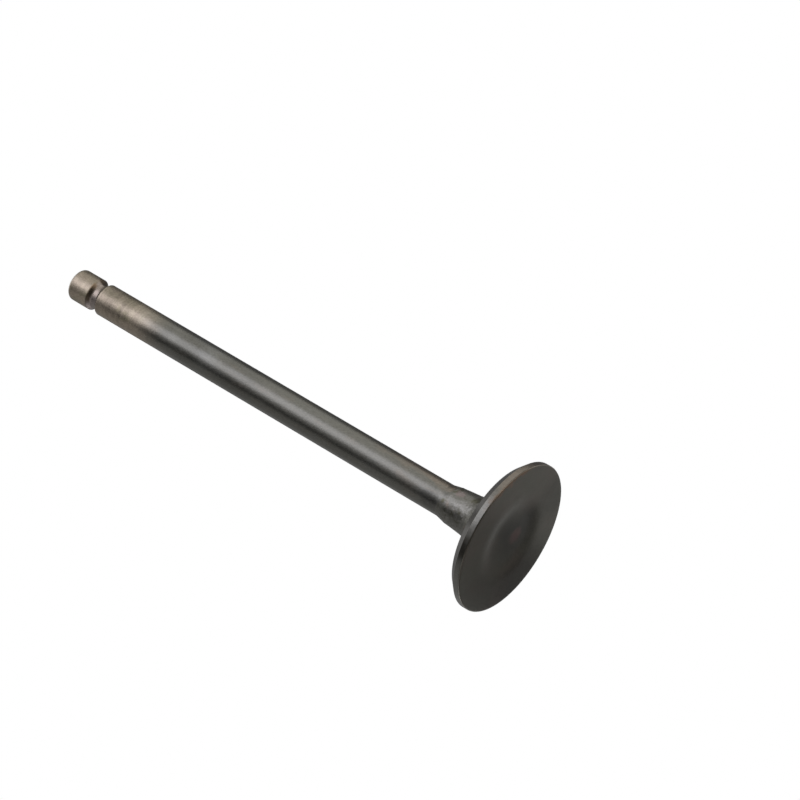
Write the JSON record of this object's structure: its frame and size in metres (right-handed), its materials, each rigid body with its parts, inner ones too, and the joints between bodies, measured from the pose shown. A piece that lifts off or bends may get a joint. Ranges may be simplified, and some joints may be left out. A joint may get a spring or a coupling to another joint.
{
  "type": "engine valve",
  "caption": "Poppet valve with a long ground stem, keeper groove near the tip, tapered neck and a flat round head with a 45 degree seat cone.",
  "frame": {"origin": "middle of the flat face of the head, in the plane that the face stands on", "axes": "+Z along the stem from the head to the tip; X and Y are any two directions across, because the valve is round"},
  "size_m": [0.0374, 0.0374, 0.133],
  "materials": {
    "valve_steel": "dark oxidised steel: ground satin stem, brighter brownish band at the tip, rougher forged neck with olive and brown stains, bright turned margin and dark face"
  },
  "bodies": {
    "root": {"valve": "valve_steel"}
  },
  "joints": []
}
